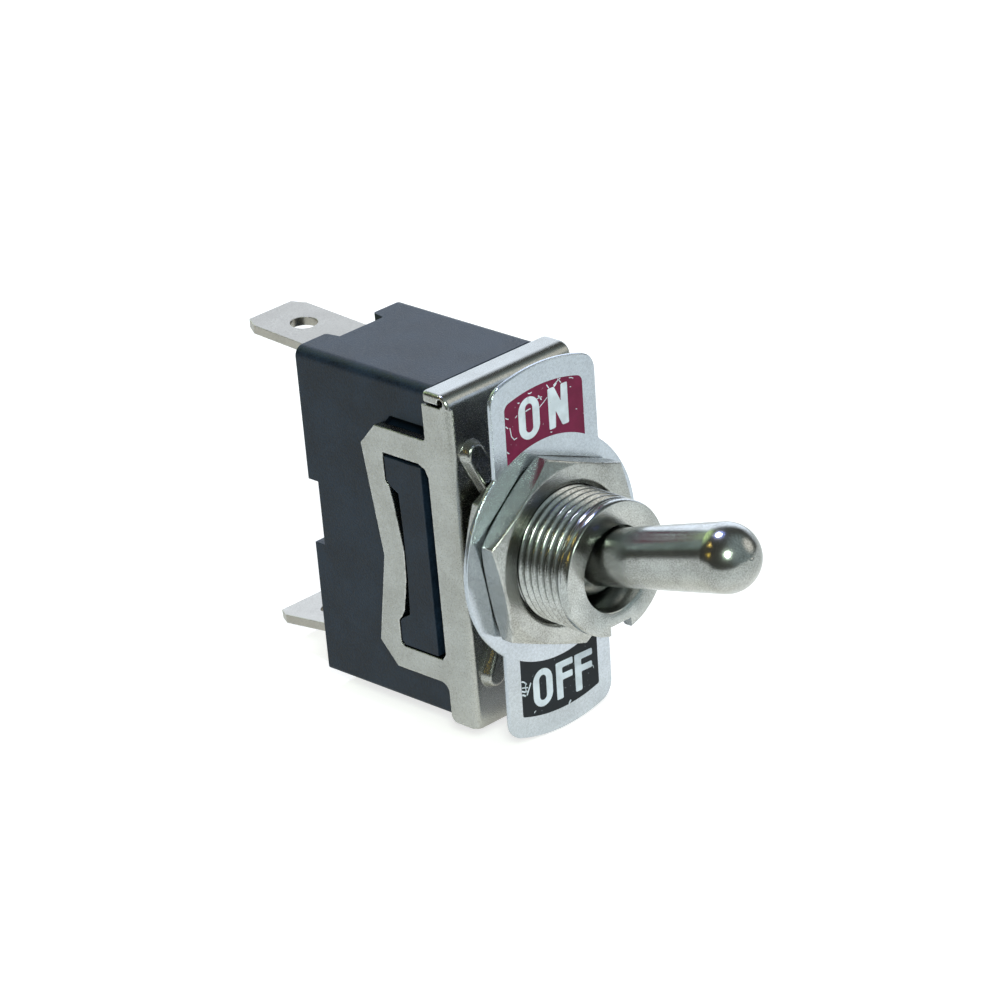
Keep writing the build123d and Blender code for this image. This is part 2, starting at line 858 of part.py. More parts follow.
# Fixed contact on the tab of the switched terminal
fixed_face = moving_contact.part.bounding_box().max.Y + contact_gap
tab_front = fixed_face + contact_head
fixed_z = contact_z - sin(contact_tip) * contact_head
with BuildPart() as fixed_contact:
    with BuildSketch(plane_at_y(tab_front)):
        with Locations((0, fixed_z)):
            Circle(contact_radius)
    extrude(amount=contact_head)
    fillet(fixed_contact.faces().sort_by(Axis.Y)[0].edges(), contact_dome)
    with BuildSketch(plane_at_y(tab_front)):
        with Locations((0, fixed_z)):
            Circle(contact_shank_radius)
    extrude(amount=-blade_sheet)
    with BuildSketch(plane_at_y(tab_front + blade_sheet)):
        with Locations((0, fixed_z)):
            Circle(contact_shank_radius + 0.35)
    extrude(amount=-0.3)
fixed_contact.part.label = "fixed_contact"
export_step(fixed_contact.part, "parts/fixed_contact.step")


def blade_outline(half_width, hole):
    """Flat outline of a quick-connect blade, from its neck to its chamfered tip."""
    Polygon(
        (-neck_half_width, -0.3),
        (-neck_half_width, 0.1),
        (-half_width, 0.5),
        (-half_width, blade_length - blade_corner_length),
        (-half_width + blade_corner_width, blade_length),
        (half_width - blade_corner_width, blade_length),
        (half_width, blade_length - blade_corner_length),
        (half_width, 0.5),
        (neck_half_width, 0.1),
        (neck_half_width, -0.3),
        align=None,
    )
    with Locations((0, blade_length - blade_hole_from_tip)):
        Circle(hole, mode=Mode.SUBTRACT)


# Common terminal: upper blade, with a leg down the back wall to the saddle
leg_front = cavity_back - blade_sheet
upper_mid = blade_outer_z - blade_sheet / 2
upper_blade = Plane(
    origin=(0, neck_end, upper_mid),
    x_dir=(1, 0, 0),
    z_dir=(0, -sin(radians(upper_splay)), cos(radians(upper_splay))),
)
with BuildPart() as common_terminal:
    with BuildSketch(Plane.YZ.offset(-neck_half_width)):
        Polygon(
            (leg_front, -saddle_half_height),
            (leg_front, blade_outer_z),
            (neck_end, blade_outer_z),
            (neck_end, blade_outer_z - blade_sheet),
            (cavity_back, blade_outer_z - blade_sheet),
            (cavity_back, -saddle_half_height),
            align=None,
        )
    extrude(amount=2 * neck_half_width)
    with BuildSketch(upper_blade):
        blade_outline(blade_half_width, blade_hole_radius)
    extrude(amount=blade_sheet / 2, both=True)
    fold = (
        common_terminal.edges()
        .filter_by(Axis.X)
        .filter_by(lambda e: abs(e.center().Y - leg_front) < 0.01)
        .filter_by(lambda e: e.center().Z > blade_outer_z - 0.05)
    )
    fillet(fold, 0.6)
    with BuildSketch(plane_at_y(leg_front)):
        Circle(rivet_radius)
    extrude(amount=-blade_sheet, mode=Mode.SUBTRACT)
common_terminal.part.label = "common_terminal"
export_step(common_terminal.part, "parts/common_terminal.step")

# Switched terminal: lower blade, with a tab that carries the fixed contact
lower_blade = Plane(
    origin=(0, neck_end, -upper_mid),
    x_dir=(1, 0, 0),
    z_dir=(0, sin(radians(lower_splay)), cos(radians(lower_splay))),
)
with BuildPart() as switched_terminal:
    with BuildSketch(Plane.YZ.offset(-neck_half_width)):
        Polygon(
            (tab_front, -blade_outer_z + contact_tab_height),
            (tab_front, -blade_outer_z),
            (neck_end, -blade_outer_z),
            (neck_end, -blade_outer_z + blade_sheet),
            (tab_front + blade_sheet, -blade_outer_z + blade_sheet),
            (tab_front + blade_sheet, -blade_outer_z + contact_tab_height),
            align=None,
        )
    extrude(amount=2 * neck_half_width)
    with BuildSketch(lower_blade):
        blade_outline(blade_half_width, blade_hole_radius)
    extrude(amount=blade_sheet / 2, both=True)
    fold = (
        switched_terminal.edges()
        .filter_by(Axis.X)
        .filter_by(lambda e: abs(e.center().Y - tab_front) < 0.01)
        .filter_by(lambda e: e.center().Z < -blade_outer_z + 0.05)
    )
    fillet(fold, 0.6)
    with BuildSketch(plane_at_y(tab_front)):
        with Locations((0, fixed_z)):
            Circle(contact_shank_radius)
    extrude(amount=-blade_sheet, mode=Mode.SUBTRACT)
switched_terminal.part.label = "switched_terminal"
export_step(switched_terminal.part, "parts/switched_terminal.step")

# Saddle that carries the rocker trunnions
saddle_outer = saddle_ear_inner + saddle_sheet
saddle_base = leg_front - saddle_sheet
with BuildPart() as rocker_saddle:
    with BuildSketch(Plane.XY.offset(-saddle_half_height)):
        Polygon(
            (-saddle_outer, saddle_front),
            (-saddle_outer, leg_front),
            (saddle_outer, leg_front),
            (saddle_outer, saddle_front),
            (saddle_ear_inner, saddle_front),
            (saddle_ear_inner, saddle_base),
            (-saddle_ear_inner, saddle_base),
            (-saddle_ear_inner, saddle_front),
            align=None,
        )
    extrude(amount=2 * saddle_half_height)
    for side in (1, -1):
        with BuildSketch(Plane.YZ.offset(-saddle_outer - 0.5)):
            with Locations(
                (
                    (saddle_front + saddle_base) / 2 - 0.4,
                    side * (saddle_half_height + saddle_ear_half_height) / 2,
                )
            ):
                Rectangle(
                    saddle_base - saddle_front,
                    saddle_half_height - saddle_ear_half_height,
                )
        extrude(amount=2 * saddle_outer + 1, mode=Mode.SUBTRACT)
    with BuildSketch(Plane.YZ.offset(-saddle_outer - 0.5)):
        with Locations((rocker_axis_y, 0)):
            Circle(trunnion_radius + running_fit)
        with Locations((rocker_axis_y - 0.6, 0)):
            Rectangle(1.2, 2 * (trunnion_radius + running_fit))
    extrude(amount=2 * saddle_outer + 1, mode=Mode.SUBTRACT)
    with BuildSketch(plane_at_y(saddle_base)):
        Circle(rivet_radius)
    extrude(amount=-saddle_sheet, mode=Mode.SUBTRACT)
rocker_saddle.part.label = "rocker_saddle"
export_step(rocker_saddle.part, "parts/rocker_saddle.step")

# Rivet that holds saddle and common terminal to the case
with BuildPart() as saddle_rivet:
    with BuildSketch(plane_at_y(saddle_base)):
        Circle(rivet_head_radius)
    extrude(amount=rivet_head_height)
    fillet(saddle_rivet.faces().sort_by(Axis.Y)[0].edges(), 0.35)
    with BuildSketch(plane_at_y(saddle_base)):
        Circle(rivet_radius)
    extrude(amount=saddle_base - middle_notch_floor)
    with BuildSketch(plane_at_y(middle_notch_floor)):
        Circle(rivet_head_radius)
    extrude(amount=-rivet_head_height)
    fillet(saddle_rivet.faces().sort_by(Axis.Y)[-1].edges(), 0.35)
saddle_rivet.part.label = "saddle_rivet"
export_step(saddle_rivet.part, "parts/saddle_rivet.step")
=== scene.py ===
"""Looks of the panel toggle switch, in metres, with the bushing along -Y and ON towards +Z."""

from math import asin, cos, pi, radians, sin, sqrt, tau

import bmesh
import bpy
from mathutils import Matrix, Vector


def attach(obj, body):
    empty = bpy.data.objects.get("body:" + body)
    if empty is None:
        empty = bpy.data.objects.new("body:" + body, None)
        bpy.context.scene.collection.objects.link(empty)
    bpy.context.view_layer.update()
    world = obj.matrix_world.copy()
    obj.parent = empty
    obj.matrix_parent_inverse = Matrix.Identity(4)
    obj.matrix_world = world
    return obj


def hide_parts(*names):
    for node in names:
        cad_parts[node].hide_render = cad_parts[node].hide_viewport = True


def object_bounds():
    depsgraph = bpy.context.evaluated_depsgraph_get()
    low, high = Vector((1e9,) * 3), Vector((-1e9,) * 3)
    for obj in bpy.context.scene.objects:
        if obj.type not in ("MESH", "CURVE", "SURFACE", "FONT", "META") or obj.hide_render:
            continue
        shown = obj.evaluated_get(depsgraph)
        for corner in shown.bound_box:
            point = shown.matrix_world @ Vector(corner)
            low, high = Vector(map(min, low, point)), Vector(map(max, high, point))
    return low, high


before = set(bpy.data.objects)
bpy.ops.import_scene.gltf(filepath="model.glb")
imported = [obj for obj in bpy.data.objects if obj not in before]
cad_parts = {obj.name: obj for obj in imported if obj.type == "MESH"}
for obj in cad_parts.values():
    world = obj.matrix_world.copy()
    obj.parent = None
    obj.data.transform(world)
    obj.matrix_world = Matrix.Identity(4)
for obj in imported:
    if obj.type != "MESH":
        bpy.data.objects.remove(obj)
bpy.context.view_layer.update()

MM = 0.001

# Threaded bushing, in millimetres
THREAD_RADIUS = 5.95
THREAD_DEPTH = 0.4
THREAD_PITCH = 0.794
MOUTH_Y = -11.0
PLAIN_RIM = 0.75
MOUTH_CHAMFER = 0.12
BORE_RADIUS = 3.76
BORE_LEAD = 0.12
BORE_CONE_Y = -5.5
BORE_REAR_RADIUS = 4.5
BORE_REAR_Y = 1.55
KEYWAY_HALF_WIDTH = 1.25
KEYWAY_FLOOR = 4.95
SPIGOT_RADIUS = 5.3
STAKE_RADIUS = 5.85
STAKE_FRONT = 0.85
STAKE_BACK = 1.35
STAKE_ROUND = 0.3
ROUND_COLUMNS = 128

# Screw thread: top and width of its flanks as shares of half a pitch, and its run-in at the rim
FLANK_TOP = 0.86
FLANK_WIDTH = 0.70
THREAD_RUN_IN = 0.6 * THREAD_PITCH
RIM_BELOW_CREST = 0.02
THREAD_COLUMNS = 200
ROWS_PER_PITCH = 12

# Indicator plate print, in millimetres from the bushing axis
PLATE_FACE_Y = -3.4
PLATE_TURN = radians(2.06)
INK_THICKNESS = 0.012
LETTER_TOP = 2 * INK_THICKNESS
SCRATCH_TOP = 2.4 * INK_THICKNESS
SCRATCH_SHARE = 0.8
FIELD_HALF_WIDTH = 4.6
FIELD_INNER_RADIUS = 10.0
FIELD_OUTER_RADIUS = 14.9
ON_FIELD_CORNER = 0.5
OFF_FIELD_CORNER = 0.12
LETTER_CORNER = 0.14

# Letters: left, right, low, high, then the width of the uprights and of the bars
ON_O = (-3.03, -0.57, 10.46, 14.23, 0.80, 0.60)
ON_N = (0.49, 2.80, 10.52, 14.20, 0.75)
OFF_O = (-3.27, -0.93, -13.98, -10.50, 0.75, 0.58)
OFF_NEAR_F = (-0.48, 1.57, -14.06, -10.64, 0.75, 0.60)
OFF_FAR_F = (1.79, 3.94, -14.10, -10.66, 0.78, 0.60)

# Finishes, as linear colours
PHENOLIC = (0.0080, 0.0160, 0.0300)
PHENOLIC_RUBBED = (0.055, 0.072, 0.098)
NICKEL = (0.52, 0.525, 0.50)
NICKEL_DEEP = (0.36, 0.355, 0.325)
BRIGHT_NICKEL = (0.58, 0.59, 0.57)
TURNED_NICKEL = (0.64, 0.66, 0.65)
NICKEL_GRAIN = (0.30, 0.30, 0.28)
ALUMINIUM = (0.56, 0.60, 0.66)
ZINC = (0.42, 0.44, 0.46)
BRASS = (0.62, 0.44, 0.18)
SILVER = (0.80, 0.79, 0.76)
TIN = (0.49, 0.460, 0.405)
TIN_SHADE = (0.40, 0.370, 0.325)
# Painted shade laid into joints and the bottoms of grooves
CREVICE_SHADE = (0.018, 0.015, 0.011)
CARD = (0.030, 0.024, 0.019)
ACETAL = (0.82, 0.81, 0.76)
MAROON_INK = (0.172, 0.014, 0.052)
BLACK_INK = (0.014, 0.017, 0.022)
LETTER_WHITE = (0.70, 0.74, 0.83)
# Painted highlights along the edges of the metal parts
EDGE_HIGHLIGHT = (0.9, 0.89, 0.86)
SHEARED_EDGE_HIGHLIGHT = (0.92, 0.94, 0.97)
PLATE_MARK = (0.30, 0.32, 0.35)
MAROON_CHIP = (0.42, 0.30, 0.36)
BLACK_CHIP = (0.20, 0.22, 0.26)
LETTER_CHIP = (0.45, 0.48, 0.52)
# Reach in metres of the painted shade in joints and grooves
CREVICE_SHADE_REACH = 0.00026

# Camera as fitted to the photograph: degrees, then millimetres, then the lens in pixels of the frame
CAMERA_AZIMUTH = -42.599
CAMERA_ELEVATION = 23.688
CAMERA_ROLL = -5.296
CAMERA_DISTANCE = 439.62
CAMERA_TO_LEFT = 2.042
CAMERA_RISE = 3.213
LENS_PIXELS = 5173.263
FRAME_PIXELS = 1000
SENSOR_WIDTH = 36


# Shader building

def add_node(tree, kind, settings=None, **values):
    """Adds a node; values are sockets by name, each a number, a colour or another socket."""
    made = tree.nodes.new(kind)
    for name, value in (settings or {}).items():
        setattr(made, name, value)
    for name, value in values.items():
        socket = made.inputs[int(name[1:]) if name[0] == "_" else name.replace("_", " ")]
        if isinstance(value, bpy.types.NodeSocket):
            tree.links.new(value, socket)
        else:
            socket.default_value = value
    return made


def maths(tree, operation, first, second=0.0, third=0.0):
    """Result of a Math node; each value is a number or a socket."""
    settings = {"operation": operation}
    return add_node(tree, "ShaderNodeMath", settings, _0=first, _1=second, _2=third).outputs[0]


def between(tree, value, low, high, start=0.0, end=1.0):
    """Value taken smoothly from low..high to start..end."""
    ramp = add_node(tree, "ShaderNodeMapRange", {"interpolation_type": "SMOOTHSTEP"},
                    Value=value, From_Min=low, From_Max=high, To_Min=start, To_Max=end)
    return ramp.outputs["Result"]


def blend_colours(tree, share, first, second):
    """Colour from first at share 0 to second at share 1."""
    mix = add_node(tree, "ShaderNodeMix", {"data_type": "RGBA"}, _0=share)
    for index, colour in ((6, first), (7, second)):
        if isinstance(colour, bpy.types.NodeSocket):
            tree.links.new(colour, mix.inputs[index])
        else:
            mix.inputs[index].default_value = (*colour, 1)
    return mix.outputs[2]


def lay_over(tree, mask, share, under, over):
    """Colour under, with over laid on it at the given share where the mask is 1."""
    return blend_colours(tree, maths(tree, "MULTIPLY", mask, share), under, over)


def shade_of(colour, share):
    """The colour made darker or lighter."""
    return tuple(part * share for part in colour)


def start_group(name, inputs, outputs):
    """A node group with float inputs {name: default} and float outputs."""
    tree = bpy.data.node_groups.new(name, "ShaderNodeTree")
    for label, default in inputs.items():
        socket = tree.interface.new_socket(label, in_out="INPUT", socket_type="NodeSocketFloat")
        socket.default_value = default
    for label in outputs:
        tree.interface.new_socket(label, in_out="OUTPUT", socket_type="NodeSocketFloat")
    return tree, tree.nodes.new("NodeGroupInput").outputs, tree.nodes.new("NodeGroupOutput").inputs


def place_on_part(tree):
    """Place on the part, in millimetres."""
    place = tree.nodes.new("ShaderNodeTexCoord").outputs["Object"]
    scaled = add_node(tree, "ShaderNodeVectorMath", {"operation": "SCALE"}, _0=place, Scale=1 / MM)
    return scaled.outputs[0]


def make_grain_group():
    """Even grain of a moulded or plated skin: height for bumps and a slow tone for colour."""
    tree, given, out = start_group(
        "skin_grain", {"Grain per mm": 4.0, "Tone per mm": 0.3}, ("Height", "Tone")
    )
    place = place_on_part(tree)
    fine = add_node(tree, "ShaderNodeTexNoise", Vector=place, Scale=given["Grain per mm"],
                    Detail=4.0, Roughness=0.6)
    slow = add_node(tree, "ShaderNodeTexNoise", Vector=place, Scale=given["Tone per mm"],
                    Detail=3.0, Roughness=0.55)
    tree.links.new(fine.outputs["Fac"], out["Height"])
    tree.links.new(between(tree, slow.outputs["Fac"], 0.3, 0.7), out["Tone"])
    return tree


def make_edge_wear_and_highlight_group():
    """Outer edges, rubbed on the phenolic and a painted highlight on the metals: 1 along a broken line on
    each edge, 0 on the faces.
    """
    tree, given, out = start_group("edge_wear_and_highlight", {"Width": 0.0002, "Breaks per mm": 1.5}, ("Mask",))
    rounded = add_node(tree, "ShaderNodeBevel", {"samples": 6}, Radius=given["Width"])
    flat = tree.nodes.new("ShaderNodeNewGeometry").outputs["Normal"]
    alike = add_node(tree, "ShaderNodeVectorMath", {"operation": "DOT_PRODUCT"},
                     _0=rounded.outputs[0], _1=flat)
    on_edge = between(tree, alike.outputs["Value"], 0.99, 0.86)
    breaks = add_node(tree, "ShaderNodeTexNoise", Vector=place_on_part(tree),
                      Scale=given["Breaks per mm"], Detail=3.0)
    kept = between(tree, breaks.outputs["Fac"], 0.35, 0.6)
    tree.links.new(maths(tree, "MULTIPLY", on_edge, kept), out["Mask"])
    return tree


def make_speck_group():
    """Small pits and specks scattered over a skin."""
    tree, given, out = start_group("pits_and_specks", {"Spread per mm": 1.2, "Amount": 0.3}, ("Mask",))
    spots = add_node(tree, "ShaderNodeTexNoise", Vector=place_on_part(tree), Scale=given["Spread per mm"],
                     Detail=2.0, Roughness=0.4)
    limit = maths(tree, "SUBTRACT", 0.85, maths(tree, "MULTIPLY", given["Amount"], 0.3))
    above = maths(tree, "SUBTRACT", spots.outputs["Fac"], limit)
    tree.links.new(between(tree, above, 0.0, 0.03), out["Mask"])
    return tree


def make_turning_group():
    """Fine rings about the bushing axis, left by the lathe tool."""
    tree, given, out = start_group("turning_marks", {"Rings per mm": 9.0}, ("Height",))
    split = add_node(tree, "ShaderNodeSeparateXYZ", _0=place_on_part(tree)).outputs
    across = maths(tree, "POWER", maths(tree, "ADD", maths(tree, "POWER", split["X"], 2.0),
                                        maths(tree, "POWER", split["Z"], 2.0)), 0.5)
    rings = add_node(tree, "ShaderNodeTexNoise", {"noise_dimensions": "1D"},
                     W=maths(tree, "MULTIPLY", across, given["Rings per mm"]), Scale=1.0, Detail=3.0)
    tree.links.new(rings.outputs["Fac"], out["Height"])
    return tree


def make_drawn_group():
    """Lines along one axis of the part, as in rolled or drawn stock."""
    tree, given, out = start_group(
        "drawn_lines", {"Along X": 1.0, "Along Y": 1.0, "Along Z": 1.0}, ("Height",)
    )
    stretch = add_node(tree, "ShaderNodeCombineXYZ",
                       X=given["Along X"], Y=given["Along Y"], Z=given["Along Z"])
    place = add_node(tree, "ShaderNodeVectorMath", {"operation": "MULTIPLY"},
                     _0=place_on_part(tree), _1=stretch.outputs[0])
    lines = add_node(tree, "ShaderNodeTexNoise", Vector=place.outputs[0], Scale=1.0,
                     Detail=4.0, Roughness=0.65)
    tree.links.new(lines.outputs["Fac"], out["Height"])
    return tree


def make_crevice_shade_group():
    """Painted shade along joints and in the bottoms of grooves: 1 at the foot of a wall, 0 in the open.
    """
    tree, given, out = start_group("crevice_shade", {"Reach": 0.0003}, ("Mask",))
    openness = add_node(tree, "ShaderNodeAmbientOcclusion", {"samples": 8}, Distance=given["Reach"])
    tree.links.new(between(tree, openness.outputs["AO"], 0.84, 0.5), out["Mask"])
    return tree


GROUPS = {
    "grain": make_grain_group(),
    "wear_and_highlight": make_edge_wear_and_highlight_group(),
    "specks": make_speck_group(),
    "turning": make_turning_group(),
    "drawn": make_drawn_group(),
    "crevice": make_crevice_shade_group(),
}


def use_group(tree, group, **values):
    """Outputs of a shared effect, placed in this material with its own values."""
    return add_node(tree, "ShaderNodeGroup", {"node_tree": GROUPS[group]}, **values).outputs


def start_finish(name, metallic, specular=0.5):
    """A material with its Principled shader: returns (material, node tree, shader)."""
    material = bpy.data.materials.new(name)
    material.use_nodes = True
    tree = material.node_tree
    skin = tree.nodes["Principled BSDF"]
    skin.inputs["Metallic"].default_value = metallic
    skin.inputs["Specular IOR Level"].default_value = specular
    return material, tree, skin


def raise_skin(tree, skin, height, depth, edge_radius):
    """Bumps of the given depth in metres over softly rounded edges."""
    edges = add_node(tree, "ShaderNodeBevel", {"samples": 6}, Radius=edge_radius)
    bump = add_node(tree, "ShaderNodeBump", Height=height, Distance=depth, Strength=1.0,
                    Normal=edges.outputs[0])
    tree.links.new(bump.outputs[0], skin.inputs["Normal"])


def mottle(tree, grain):
    """Fine grain over the slow tone, as one value for colour."""
    fine = between(tree, grain["Height"], 0.35, 0.65)
    return maths(tree, "MULTIPLY_ADD", fine, 0.6, maths(tree, "MULTIPLY", grain["Tone"], 0.4))


def darken_crevices(tree, skin, colour):
    """Colours the skin, with painted shade darkening its joints and grooves."""
    painted_shade = use_group(tree, "crevice", Reach=CREVICE_SHADE_REACH)["Mask"]
    tree.links.new(lay_over(tree, painted_shade, 0.9, colour, CREVICE_SHADE), skin.inputs["Base Color"])


def phenolic_finish():
    """Moulded black phenolic: matt, faintly blue, grainy, greyer where it is rubbed."""
    material, tree, skin = start_finish("moulded_black_phenolic", 0.0, 0.27)
    grain = use_group(tree, "grain", Grain_per_mm=7.0, Tone_per_mm=0.25)
    wear_and_highlight = use_group(tree, "wear_and_highlight", Width=0.00022, Breaks_per_mm=0.9)["Mask"]
    specks = use_group(tree, "specks", Spread_per_mm=3.2, Amount=0.35)["Mask"]
    tone = blend_colours(tree, mottle(tree, grain), shade_of(PHENOLIC, 0.4), shade_of(PHENOLIC, 2.0))
    dusted = lay_over(tree, specks, 0.35, tone, PHENOLIC_RUBBED)
    tree.links.new(lay_over(tree, wear_and_highlight, 0.45, dusted, PHENOLIC_RUBBED), skin.inputs["Base Color"])
    tree.links.new(between(tree, grain["Height"], 0.3, 0.7, 0.28, 0.50), skin.inputs["Roughness"])
    raise_skin(tree, skin, grain["Height"], 0.000034, 0.00012)
    return material


def plated_finish(name, colour, shade, gloss, dull, grain_per_mm, depth,
                  drawn=None, edge=0.00008, turned=False):
    """Plated metal: colour and shade mix in the grain, and roughness runs from gloss to dull with it."""
    material, tree, skin = start_finish(name, 1.0)
    grain = use_group(tree, "grain", Grain_per_mm=grain_per_mm, Tone_per_mm=0.35)
    wear_and_highlight = use_group(tree, "wear_and_highlight", Width=edge * 1.4, Breaks_per_mm=2.0)["Mask"]
    specks = use_group(tree, "specks", Spread_per_mm=2.0, Amount=0.2)["Mask"]
    tone = blend_colours(tree, mottle(tree, grain), colour, shade)
    pitted = lay_over(tree, specks, 0.6, tone, shade_of(shade, 0.35))
    # Edges get a painted highlight, broken like wear, and joints get painted shade
    darken_crevices(tree, skin, lay_over(tree, wear_and_highlight, 0.7, pitted, EDGE_HIGHLIGHT))
    height = grain["Height"]
    if drawn:
        lines = use_group(tree, "drawn", Along_X=drawn[0], Along_Y=drawn[1], Along_Z=drawn[2])["Height"]
        height = maths(tree, "MULTIPLY_ADD", lines, 0.8, height)
    if turned:
        rings = use_group(tree, "turning", Rings_per_mm=9.0)["Height"]
        height = maths(tree, "MULTIPLY_ADD", rings, 0.9, height)
    tree.links.new(between(tree, grain["Height"], 0.25, 0.75, gloss, dull), skin.inputs["Roughness"])
    raise_skin(tree, skin, height, depth, edge)
    return material


def ink_finish(name, colour, chip):
    """Screen printed ink: even colour with a broken edge of bare metal here and there."""
    material, tree, skin = start_finish(name, 0.0, 0.16)
    grain = use_group(tree, "grain", Grain_per_mm=9.0, Tone_per_mm=0.8)
    specks = use_group(tree, "specks", Spread_per_mm=2.6, Amount=0.5)["Mask"]
    tone = blend_colours(tree, grain["Tone"], colour, shade_of(colour, 1.25))
    tree.links.new(lay_over(tree, specks, 0.6, tone, chip), skin.inputs["Base Color"])
    tree.links.new(between(tree, grain["Height"], 0.2, 0.8, 0.32, 0.5), skin.inputs["Roughness"])
    raise_skin(tree, skin, grain["Height"], 0.000004, 0.00001)
    return material


def plate_finish():
    """White anodised aluminium plate: pale blue grey and satin, with a painted highlight along its
    sheared edge.
    """
    material, tree, skin = start_finish("satin_aluminium_plate", 0.85, 0.5)
    grain = use_group(tree, "grain", Grain_per_mm=6.0, Tone_per_mm=0.25)
    wear_and_highlight = use_group(tree, "wear_and_highlight", Width=0.00016, Breaks_per_mm=1.2)["Mask"]
    specks = use_group(tree, "specks", Spread_per_mm=1.8, Amount=0.3)["Mask"]
    lines = use_group(tree, "drawn", Along_X=0.6, Along_Y=6.0, Along_Z=9.0)["Height"]
    tone = blend_colours(tree, mottle(tree, grain), shade_of(ALUMINIUM, 0.88), shade_of(ALUMINIUM, 1.16))
    marked = lay_over(tree, specks, 0.4, tone, PLATE_MARK)
    # The sheared edge gets a painted highlight and the joints get painted shade
    darken_crevices(tree, skin, lay_over(tree, wear_and_highlight, 0.8, marked, SHEARED_EDGE_HIGHLIGHT))
    tree.links.new(between(tree, grain["Height"], 0.25, 0.75, 0.17, 0.23), skin.inputs["Roughness"])
    raise_skin(tree, skin, maths(tree, "MULTIPLY_ADD", lines, 0.6, grain["Height"]), 0.0000032, 0.00015)
    return material


def plain_finish(name, colour, roughness, grain_per_mm, depth):
    """Unplated card or plastic inside the switch."""
    material, tree, skin = start_finish(name, 0.0, 0.45)
    grain = use_group(tree, "grain", Grain_per_mm=grain_per_mm, Tone_per_mm=0.5)
    tone = blend_colours(tree, grain["Tone"], colour, shade_of(colour, 0.7))
    tree.links.new(tone, skin.inputs["Base Color"])
    rough = between(tree, grain["Height"], 0.2, 0.8, roughness, roughness + 0.15)
    tree.links.new(rough, skin.inputs["Roughness"])
    raise_skin(tree, skin, grain["Height"], depth, 0.00005)
    return material


# Plated metals: colour, shade, roughness where bright and where dull, grain per mm, its depth in metres
finishes = {
    "phenolic": phenolic_finish(),
    "bracket": plated_finish("satin_nickel_bracket", NICKEL, NICKEL_DEEP, 0.20, 0.30, 9.0, 0.000007,
                             drawn=(4.0, 14.0, 1.0), edge=0.00018),
    "nut": plated_finish("bright_nickel_nut", BRIGHT_NICKEL, NICKEL_GRAIN, 0.15, 0.25, 8.0, 0.000008,
                         drawn=(10.0, 1.2, 10.0), edge=0.00028),
    "bushing": plated_finish("turned_nickel_bushing", TURNED_NICKEL, NICKEL_GRAIN, 0.15, 0.26,
                             8.0, 0.000007, edge=0.00004, turned=True),
    "lever": plated_finish("polished_nickel_lever", BRIGHT_NICKEL, NICKEL_GRAIN, 0.14, 0.26,
                           9.0, 0.0000055),
    "blade": plated_finish("tinned_brass_blade", TIN, TIN_SHADE, 0.26, 0.38, 7.0, 0.000003,
                           drawn=(6.0, 0.8, 6.0), edge=0.00009),
    "zinc": plated_finish("zinc_plated_steel", ZINC, NICKEL_DEEP, 0.28, 0.42, 6.0, 0.000005),
    "brass": plated_finish("plain_brass_strip", BRASS, shade_of(BRASS, 0.8), 0.25, 0.4, 5.0, 0.000005),
    "silver": plated_finish("silver_contact_face", SILVER, NICKEL, 0.2, 0.3, 5.0, 0.000003),
    "plate": plate_finish(),
    "maroon_ink": ink_finish("maroon_printing_ink", MAROON_INK, MAROON_CHIP),
    "black_ink": ink_finish("black_printing_ink", BLACK_INK, BLACK_CHIP),
    "letter": ink_finish("bare_letter_white", LETTER_WHITE, LETTER_CHIP),
    "card": plain_finish("pressed_fibre_card", CARD, 0.7, 8.0, 0.00002),
    "acetal": plain_finish("white_acetal_plunger", ACETAL, 0.35, 4.0, 0.000003),
}

NODE_FINISH = {
    "case": "phenolic",
    "bracket": "bracket",
    "insulator_card": "card",
    "bushing": "bushing",
    "rear_nut": "nut",
    "front_nut": "nut",
    "lock_washer": "zinc",
    "indicator_plate": "plate",
    "lever": "lever",
    "pivot_pin": "zinc",
    "plunger": "acetal",
    "toggle_spring": "zinc",
    "rocker": "brass",
    "moving_contact": "silver",
    "fixed_contact": "silver",
    "common_terminal": "blade",
    "switched_terminal": "blade",
    "rocker_saddle": "brass",
    "saddle_rivet": "brass",
}
for name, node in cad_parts.items():
    node.data.materials.clear()
    node.data.materials.append(finishes[NODE_FINISH[name]])


# Pieces made here

def finish_piece(name, shape, finish, smooth_angle):
    """Turns a bmesh in millimetres into a piece that rides on the switch body."""
    bmesh.ops.remove_doubles(shape, verts=shape.verts, dist=0.0005)
    bmesh.ops.recalc_face_normals(shape, faces=shape.faces)
    bmesh.ops.scale(shape, vec=(MM, MM, MM), verts=shape.verts)
    mesh = bpy.data.meshes.new(name)
    shape.to_mesh(mesh)
    shape.free()
    mesh.shade_smooth()
    mesh.set_sharp_from_angle(angle=smooth_angle)
    mesh.materials.append(finishes[finish])
    piece = bpy.data.objects.new(name, mesh)
    bpy.context.scene.collection.objects.link(piece)
    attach(piece, "body")
    return piece


def add_loop(shape, points):
    """New vertices at the points."""
    return [shape.verts.new(point) for point in points]


def join_loops(shape, loops, closed=True):
    """Quads between neighbouring loops of the same length."""
    for near, far in zip(loops, loops[1:]):
        count = len(near)
        for index in range(count if closed else count - 1):
            other = (index + 1) % count
            shape.faces.new((near[index], near[other], far[other], far[index]))


def loop_edges(loop):
    """Edges along a closed loop of vertices that faces already use."""
    edges = []
    for first, second in zip(loop, loop[1:] + loop[:1]):
        edges += [edge for edge in first.link_edges if edge.other_vert(first) is second]
    return edges


def circle_points(radius, y):
    """A circle round the bushing axis, from its lowest point."""
    angles = [tau * column / ROUND_COLUMNS for column in range(ROUND_COLUMNS)]
    return [(radius * sin(angle), y, -radius * cos(angle)) for angle in angles]


